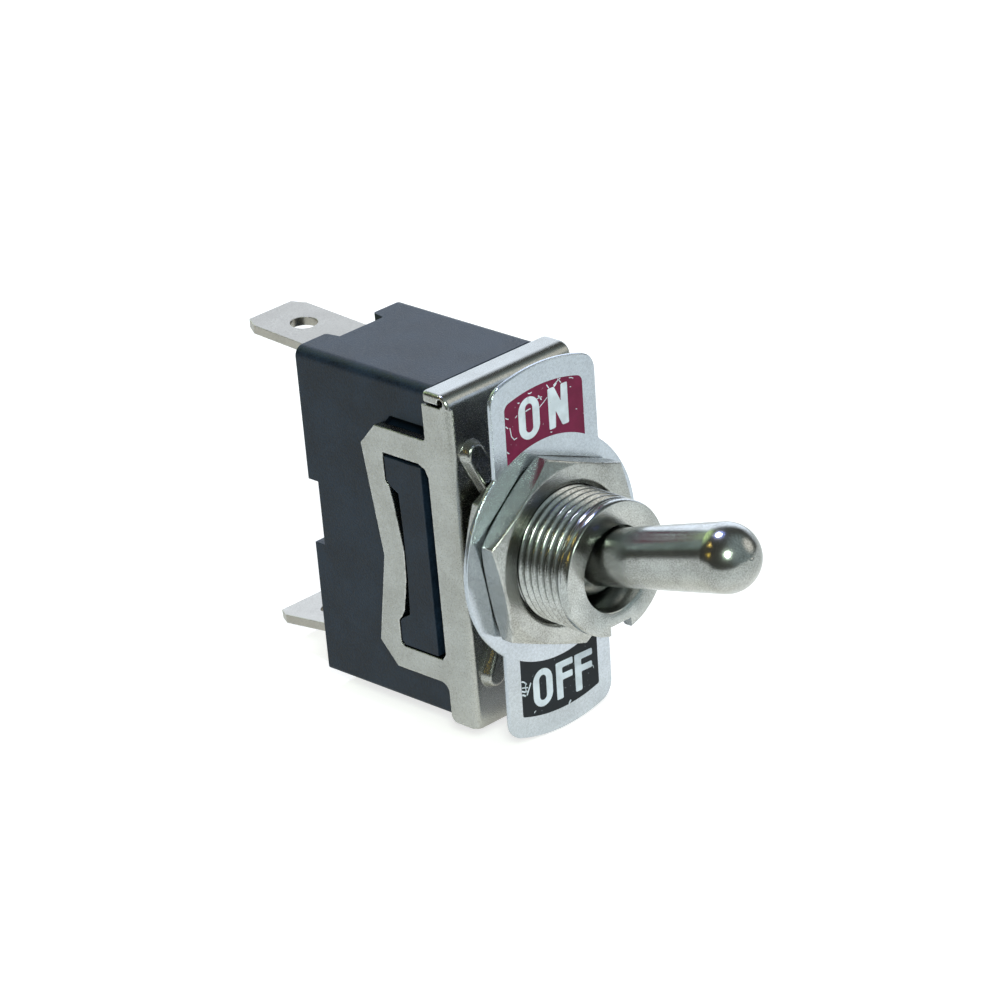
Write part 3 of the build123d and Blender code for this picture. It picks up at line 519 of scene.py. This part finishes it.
def bore_radius_at(y):
    """The bore is straight at the front and widens in a cone to the back."""
    if y <= BORE_CONE_Y:
        return BORE_RADIUS
    share = (y - BORE_CONE_Y) / (BORE_REAR_Y - BORE_CONE_Y)
    return BORE_RADIUS + share * (BORE_REAR_RADIUS - BORE_RADIUS)


def thread_depth_at(phase):
    """Depth below the crest, as a share, at a phase of one turn's pitch."""
    away = abs((phase % 1.0) - 0.5) * 2
    return min(1.0, max(0.0, (FLANK_TOP - away) / FLANK_WIDTH))


def keyed_loop(place):
    """Points round the sleeve past both keyway walls; place(angle) gives (radius, y)."""
    points = []
    for column in range(THREAD_COLUMNS + 1):
        share = column / THREAD_COLUMNS
        radius, y = place(tau * share)
        wall = asin(KEYWAY_HALF_WIDTH / radius)
        angle = wall + (tau - 2 * wall) * share
        points.append((radius * sin(angle), y, -radius * cos(angle)))
    left_y, right_y = points[-1][1], points[0][1]
    for step in range(5):
        share = step / 4
        y = left_y + (right_y - left_y) * share
        points.append(((2 * share - 1) * KEYWAY_HALF_WIDTH, y, -KEYWAY_FLOOR))
    return points


def build_threaded_bushing():
    """Sleeve with its screw thread and keyway, and the staked spigot behind the bracket."""
    shape = bmesh.new()
    thread_front = MOUTH_Y + PLAIN_RIM
    rows = int((0 - thread_front) / THREAD_PITCH + 2) * ROWS_PER_PITCH

    def thread_place(row):
        def place(angle):
            turns = row / ROWS_PER_PITCH - angle / tau
            y = min(0.0, max(thread_front, thread_front + THREAD_PITCH * turns))
            run_in = min(1.0, (y - thread_front) / THREAD_RUN_IN)
            depth = THREAD_DEPTH * run_in * thread_depth_at(row / ROWS_PER_PITCH)
            return THREAD_RADIUS - depth, y
        return place

    rim = [(THREAD_RADIUS - MOUTH_CHAMFER, MOUTH_Y),
           (THREAD_RADIUS - RIM_BELOW_CREST, MOUTH_Y + MOUTH_CHAMFER)]
    outer = [add_loop(shape, keyed_loop(lambda angle: place)) for place in rim]
    outer += [add_loop(shape, keyed_loop(thread_place(row))) for row in range(rows + 1)]
    join_loops(shape, outer)

    bore = [(BORE_RADIUS + BORE_LEAD, MOUTH_Y), (BORE_RADIUS, MOUTH_Y + BORE_LEAD),
            (BORE_RADIUS, BORE_CONE_Y), (bore_radius_at(0), 0)]
    inner = [add_loop(shape, circle_points(radius, y)) for radius, y in bore]
    join_loops(shape, inner)
    for outline, hole in ((outer[0], inner[0]), (outer[-1], inner[-1])):
        bmesh.ops.triangle_fill(shape, use_beauty=True, use_dissolve=False,
                                edges=loop_edges(outline) + loop_edges(hole))

    spigot = [(bore_radius_at(0), 0), (SPIGOT_RADIUS, 0), (SPIGOT_RADIUS, STAKE_FRONT),
              (STAKE_RADIUS, STAKE_FRONT), (STAKE_RADIUS, (STAKE_FRONT + STAKE_BACK) / 2),
              (STAKE_RADIUS - STAKE_ROUND, STAKE_BACK), (SPIGOT_RADIUS, STAKE_BACK),
              (SPIGOT_RADIUS, BORE_REAR_Y), (BORE_REAR_RADIUS, BORE_REAR_Y)]
    rings = [add_loop(shape, circle_points(radius, y)) for radius, y in spigot]
    join_loops(shape, rings + rings[:1])
    sleeve = finish_piece("threaded_bushing", shape, "bushing", radians(50))
    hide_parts("bushing")


def on_plate(x, z, height):
    """A point of the print, turned with the plate, height above its front face."""
    c, s = cos(PLATE_TURN), sin(PLATE_TURN)
    return (c * x + s * z, PLATE_FACE_Y - height, -s * x + c * z)


def grid_rim(rows):
    """The outer loop of a grid of vertices."""
    return rows[0] + [row[-1] for row in rows[1:-1]] + rows[-1][::-1] + [row[0] for row in rows[-2:0:-1]]


def add_film(shape, front, bottom, top):
    """A thin film: quads of the flat grid front[row][column] at height top, with side walls to bottom."""
    upper = [add_loop(shape, [on_plate(x, z, top) for x, z in row]) for row in front]
    lower = [add_loop(shape, [on_plate(x, z, bottom) for x, z in row]) for row in front]
    join_loops(shape, upper, closed=False)
    join_loops(shape, lower, closed=False)
    join_loops(shape, [grid_rim(upper), grid_rim(lower)])


def field_grid(direction, corner):
    """Rows of points over one printed field; direction is 1 for ON at the top and -1 for OFF."""
    columns, rows = 48, 6
    grid = []
    for row in range(rows + 1):
        line = []
        for column in range(columns + 1):
            x = FIELD_HALF_WIDTH * sin(pi * (column / columns - 0.5))
            low = sqrt(FIELD_INNER_RADIUS**2 - x * x)
            high = sqrt(FIELD_OUTER_RADIUS**2 - x * x)
            into_corner = abs(x) - (FIELD_HALF_WIDTH - corner)
            if into_corner > 0:
                high -= corner - sqrt(max(0.0, corner**2 - into_corner**2))
            line.append((x, direction * (low + (high - low) * row / rows)))
        grid.append(line)
    return grid


def finish_print(name, shape, finish):
    """A film of the print on the plate, attached to the switch body."""
    finish_piece(name, shape, finish, radians(40))


def build_field(name, direction, corner, finish):
    """One field of ink on the plate's face."""
    shape = bmesh.new()
    add_film(shape, field_grid(direction, corner), 0.0, INK_THICKNESS)
    finish_print(name, shape, finish)


def stroke_grid(path, width):
    """Two rows of points along both sides of a path of (x, z) points, its ends rounded."""
    half = width / 2
    points = [Vector(point) for point in path]
    ways = [(after - before).normalized() for before, after in zip(points, points[1:])]
    start, end = ways[0], ways[-1]
    angles = [pi / 2 * step / 6 for step in range(7)]
    ribs = [(points[0] - start * half * 0.6 * cos(angle), start, half * sin(angle))
            for angle in angles[:6]]
    for point, before, after in zip(points, [start] + ways, ways + [end]):
        middle = (before + after).normalized()
        ribs.append((point, middle, half / max(0.35, middle.dot(after))))
    ribs += [(points[-1] + end * half * 0.6 * cos(angle), end, half * sin(angle))
             for angle in angles[:0:-1]]
    sides = [(centre, Vector((-way.y, way.x)) * reach) for centre, way, reach in ribs]
    return [[tuple(centre + turn * side) for centre, side in sides] for turn in (1, -1)]


def oval_grid(left, right, low, high, side_stroke, end_stroke):
    """Two closed rows round a tall letter O with straight sides."""
    middle_x, middle_z = (left + right) / 2, (low + high) / 2
    rows = []
    for side, end in ((0.0, 0.0), (side_stroke, end_stroke)):
        half_width, half_height = (right - left) / 2 - side, (high - low) / 2 - end
        straight = half_height - half_width
        row = []
        for step in range(49):
            angle = tau * step / 48
            lift = straight if cos(angle) > 0 else -straight
            row.append((middle_x + half_width * sin(angle), middle_z + half_width * cos(angle) + lift))
        rows.append(row)
    return rows


def rounded_outline(corners, radius):
    """The outline of a letter with every corner eased by an arc of the ink."""
    points = []
    for index, corner in enumerate(corners):
        here = Vector(corner)
        before = Vector(corners[index - 1]) - here
        after = Vector(corners[(index + 1) % len(corners)]) - here
        reach = min(radius, before.length / 2, after.length / 2)
        start, end = here + before.normalized() * reach, here + after.normalized() * reach
        for step in range(5):
            share = step / 4
            points.append((1 - share) ** 2 * start + 2 * share * (1 - share) * here + share**2 * end)
    return points


def add_letter(shape, corners):
    """A raised letter from its outline in plate millimetres."""
    outline = rounded_outline(corners, LETTER_CORNER)
    top = add_loop(shape, [on_plate(x, z, LETTER_TOP) for x, z in outline])
    bottom = add_loop(shape, [on_plate(x, z, INK_THICKNESS) for x, z in outline])
    shape.faces.new(top)
    shape.faces.new(bottom[::-1])
    join_loops(shape, [top, bottom])


def letter_n(left, right, low, high, stem):
    """Corners of an N with its slanted stroke a little wider than the stems."""
    rise = (high - low) * 0.41
    return [(left, low), (left, high), (left + stem, high), (right - stem * 1.1, high - rise),
            (right - stem, high), (right, high), (right, low), (right - stem, low),
            (left + stem * 1.1, low + rise), (left + stem, low)]


def letter_f(left, right, low, high, stem, arm):
    """Corners of an F; its middle arm is a little shorter than the top one."""
    middle = high - (high - low) * 0.51
    return [(left, low), (left, high), (right, high), (right, high - arm), (left + stem, high - arm),
            (left + stem, middle + arm), (right - 0.08, middle + arm), (right - 0.08, middle),
            (left + stem, middle), (left + stem, low)]


# Scratches through the print: points of each line in plate millimetres, then its width
ON_SCRATCHES = [
    ([(-0.55, 12.90), (0.0, 13.22), (0.42, 13.50)], 0.09),
    ([(-0.60, 13.95), (-0.42, 13.74), (-0.28, 13.52)], 0.15),
    ([(-0.78, 13.72), (-0.45, 13.78), (-0.20, 13.74)], 0.10),
    ([(-2.15, 13.05), (-1.9, 13.10), (-1.62, 13.12)], 0.13),
    ([(-4.08, 12.14), (-3.96, 11.35), (-3.66, 10.98), (-3.36, 11.04)], 0.10),
    ([(-4.50, 13.15), (-4.36, 13.05), (-4.20, 12.98)], 0.12),
    ([(-4.55, 12.40), (-4.42, 12.28), (-4.32, 12.20)], 0.12),
    ([(-3.38, 12.85), (-3.28, 12.92), (-3.18, 12.99)], 0.08),
    ([(-3.00, 14.05), (-2.92, 14.00), (-2.84, 14.02)], 0.12),
    ([(-4.56, 10.14), (-4.46, 10.02), (-4.36, 9.96)], 0.12),
    ([(0.44, 14.60), (0.55, 14.42), (0.66, 14.28)], 0.12),
    ([(1.22, 14.34), (1.60, 14.52), (2.05, 14.70)], 0.10),
    ([(1.75, 14.72), (1.92, 14.54), (2.10, 14.32)], 0.10),
    ([(1.28, 14.20), (1.42, 14.28), (1.56, 14.42)], 0.16),
    ([(3.10, 14.42), (3.35, 14.36), (3.56, 14.24)], 0.10),
    ([(3.15, 13.60), (3.20, 13.58), (3.24, 13.56)], 0.09),
    ([(3.70, 11.44), (3.75, 11.41), (3.79, 11.38)], 0.08),
    ([(0.58, 10.33), (0.66, 10.28), (0.74, 10.28)], 0.10),
    ([(-1.75, 14.52), (-1.55, 14.46), (-1.36, 14.50)], 0.12),
]
OFF_SCRATCHES = [
    ([(-4.56, -10.86), (-4.30, -10.98), (-4.02, -11.26)], 0.16),
    ([(-3.52, -11.34), (-3.76, -11.80), (-4.02, -12.28)], 0.17),
    ([(-4.56, -11.44), (-4.25, -11.52), (-3.90, -11.62)], 0.13),
    ([(-4.56, -11.76), (-4.28, -11.90), (-4.00, -11.94)], 0.18),
    ([(-4.56, -12.10), (-4.40, -12.16), (-4.22, -12.30)], 0.20),
    ([(-4.10, -11.10), (-4.16, -11.50), (-4.10, -12.00)], 0.10),
    ([(0.86, -14.83), (0.98, -14.70), (1.08, -14.60)], 0.20),
    ([(-3.30, -14.20), (-3.22, -14.12), (-3.10, -14.08)], 0.07),
    ([(3.90, -12.30), (3.98, -12.42), (4.02, -12.60)], 0.06),
]


def build_print():
    """ON on maroon above and OFF on black below, in bare condensed letters with a few scratches."""
    build_field("on_field", 1, ON_FIELD_CORNER, "maroon_ink")
    build_field("off_field", -1, OFF_FIELD_CORNER, "black_ink")
    on_word = bmesh.new()
    add_film(on_word, oval_grid(*ON_O), INK_THICKNESS, LETTER_TOP)
    add_letter(on_word, letter_n(*ON_N))
    finish_print("on_letters", on_word, "letter")
    off_word = bmesh.new()
    add_film(off_word, oval_grid(*OFF_O), INK_THICKNESS, LETTER_TOP)
    add_letter(off_word, letter_f(*OFF_NEAR_F))
    add_letter(off_word, letter_f(*OFF_FAR_F))
    finish_print("off_letters", off_word, "letter")
    scratches = bmesh.new()
    for path, width in ON_SCRATCHES + OFF_SCRATCHES:
        add_film(scratches, stroke_grid(path, SCRATCH_SHARE * width), INK_THICKNESS, SCRATCH_TOP)
    finish_print("print_scratches", scratches, "letter")


build_threaded_bushing()
build_print()


# Floor, room and lamps

# Paper under the switch, in millimetres: its near edge runs close to the front left
PAPER_DROP = 0.2
PAPER_OUTLINE = [(-101, -24), (-70, -66), (-52, -100), (-38, -135), (-3, -317), (140, -420),
                 (560, -560), (1400, -700), (1800, 0), (1200, 1400), (0, 1800), (-1200, 1400),
                 (-1600, 600), (-900, 200)]

# Painted pool of warmer, brighter light on the paper, seen only in reflections, in millimetres
POOL_X, POOL_Y = 11.0, -17.0
POOL_EDGE = 46.0
POOL_CORE = 8.0

# Patches of light in the room: azimuth, elevation, outer and inner radius in degrees, colour
ROOM_SHADE = (0.075, 0.078, 0.070)
ROOM_PATCHES = [
    (20, 30, 62, 20, (0.30, 0.37, 0.38)),
    (54, 24, 22, 8, (1.20, 1.19, 1.12)),
    (-178, 27, 26, 10, (0.95, 1.30, 0.62)),
    (-163, 22, 14, 4, (0.24, 0.31, 0.32)),
    (112, -2, 32, 16, (0.78, 0.86, 0.96)),
    (138, 8, 38, 16, (1.48, 1.64, 1.88)),
]

# Lamps: name, azimuth and elevation in degrees, distance and size in metres, power, colour
LAMPS = [
    ("window", 176, 70, 0.8, 0.11, 1.7, (0.93, 0.97, 1.0)),
    ("window_halo", 173, 71, 0.9, 0.34, 0.80, (0.14, 0.24, 1.0)),
    ("front_lamp", -38, 34, 0.8, 0.19, 2.4, (0.90, 1.0, 0.88)),
    ("front_halo", -40, 33, 0.9, 0.31, 0.60, (0.55, 1.0, 0.70)),
    ("front_fill", -30, 37, 0.9, 0.60, 1.9, (0.97, 1.0, 1.0)),
    ("upper_warm_lamp", -128.7, 46.6, 0.8, 0.07, 0.14, (1.0, 0.72, 0.16)),
    ("lower_warm_lamp", -107.6, 24.1, 0.8, 0.06, 0.10, (1.0, 0.72, 0.10)),
]


def build_floor():
    """White paper floor under the lower plate tab; it keeps the shadow and shows pale in the metal."""
    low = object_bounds()[0].z - PAPER_DROP * MM
    mesh = bpy.data.meshes.new("paper_floor")
    mesh.from_pydata([(x * MM, y * MM, low) for x, y in PAPER_OUTLINE], [], [range(len(PAPER_OUTLINE))])
    floor = bpy.data.objects.new("paper_floor", mesh)
    bpy.context.scene.collection.objects.link(floor)
    material, tree, skin = start_finish("white_paper", 0.0, 0.2)
    skin.inputs["Base Color"].default_value = (0.60, 0.60, 0.60, 1)
    skin.inputs["Roughness"].default_value = 0.9
    away = add_node(tree, "ShaderNodeVectorMath", {"operation": "DISTANCE"}, _0=place_on_part(tree),
                    _1=(POOL_X, POOL_Y, low / MM)).outputs["Value"]
    near = between(tree, away, POOL_EDGE, POOL_CORE)
    rays = tree.nodes.new("ShaderNodeLightPath").outputs
    mirrored = maths(tree, "MAXIMUM", rays["Is Glossy Ray"], rays["Is Transmission Ray"])
    # Painted pool of light: the paper glows brighter and warmer near the switch in reflections
    pooled = maths(tree, "MULTIPLY", mirrored, maths(tree, "MULTIPLY_ADD", near, 0.26, 0.36))
    seen = maths(tree, "MULTIPLY_ADD", rays["Is Camera Ray"], 0.72, pooled)
    tint = blend_colours(tree, near, (0.97, 1.0, 1.0), (1.0, 0.98, 0.93))
    white = blend_colours(tree, rays["Is Camera Ray"], tint, (1, 1, 1))
    glow = add_node(tree, "ShaderNodeEmission", Color=white, Strength=seen)
    both = add_node(tree, "ShaderNodeAddShader", _0=skin.outputs[0], _1=glow.outputs[0])
    tree.links.new(both.outputs[0], tree.nodes["Material Output"].inputs["Surface"])
    floor.data.materials.append(material)


def way_towards(azimuth, elevation):
    """A direction out of the switch; azimuth 0 is in front of the bushing and 90 to its right."""
    a, e = radians(azimuth), radians(elevation)
    return Vector((sin(a) * cos(e), -cos(a) * cos(e), sin(e)))


def build_room():
    """Dim room with pale paper behind the switch and soft patches of wall light; white to the camera."""
    world = bpy.data.worlds.new("studio_room")
    bpy.context.scene.world = world
    world.use_nodes = True
    tree = world.node_tree
    tree.nodes.clear()
    way = tree.nodes.new("ShaderNodeTexCoord").outputs["Generated"]
    lit = ROOM_SHADE
    for azimuth, elevation, outer, inner, colour in ROOM_PATCHES:
        facing = add_node(tree, "ShaderNodeVectorMath", {"operation": "DOT_PRODUCT"}, _0=way,
                          _1=way_towards(azimuth, elevation)).outputs["Value"]
        inside = between(tree, facing, cos(radians(outer)), cos(radians(inner)))
        lit = blend_colours(tree, inside, lit, colour)
    seen = tree.nodes.new("ShaderNodeLightPath").outputs["Is Camera Ray"]
    colour = blend_colours(tree, seen, lit, (1, 1, 1))
    back = add_node(tree, "ShaderNodeBackground", Color=colour, Strength=1.0)
    out = tree.nodes.new("ShaderNodeOutputWorld")
    tree.links.new(back.outputs[0], out.inputs["Surface"])


def hang_lamp(name, azimuth, elevation, distance, size, power, colour):
    """A round soft lamp that faces the switch."""
    way = way_towards(azimuth, elevation)
    lamp = bpy.data.lights.new(name, "AREA")
    lamp.shape = "DISK"
    lamp.size = size
    lamp.energy = power
    lamp.color = colour
    holder = bpy.data.objects.new(name, lamp)
    bpy.context.scene.collection.objects.link(holder)
    holder.location = way * distance
    holder.rotation_euler = way.to_track_quat("Z", "Y").to_euler()
    return holder


def light_studio():
    """Hangs the lamps; the fill brightens the front without showing in the metal."""
    lamps = {lamp[0]: hang_lamp(*lamp) for lamp in LAMPS}
    lamps["front_fill"].visible_glossy = False


def set_camera():
    """Looks down on the switch from its front left, as in the photograph."""
    roll = radians(CAMERA_ROLL)
    back = way_towards(CAMERA_AZIMUTH, CAMERA_ELEVATION)
    level = (-back).cross(Vector((0, 0, 1))).normalized()
    upright = level.cross(-back)
    right = cos(roll) * level + sin(roll) * upright
    up = -sin(roll) * level + cos(roll) * upright
    place = (back * CAMERA_DISTANCE - right * CAMERA_TO_LEFT + up * CAMERA_RISE) * MM
    lens = bpy.data.cameras.new("studio_camera")
    lens.sensor_width = SENSOR_WIDTH
    lens.lens = LENS_PIXELS * SENSOR_WIDTH / FRAME_PIXELS
    lens.clip_start = 0.01
    lens.clip_end = 20
    camera = bpy.data.objects.new("studio_camera", lens)
    camera.matrix_world = Matrix((
        (right.x, up.x, back.x, place.x),
        (right.y, up.y, back.y, place.y),
        (right.z, up.z, back.z, place.z),
        (0, 0, 0, 1),
    ))
    bpy.context.scene.collection.objects.link(camera)
    bpy.context.scene.camera = camera


build_floor()
build_room()
light_studio()
set_camera()
bpy.context.scene.view_settings.view_transform = "Standard"
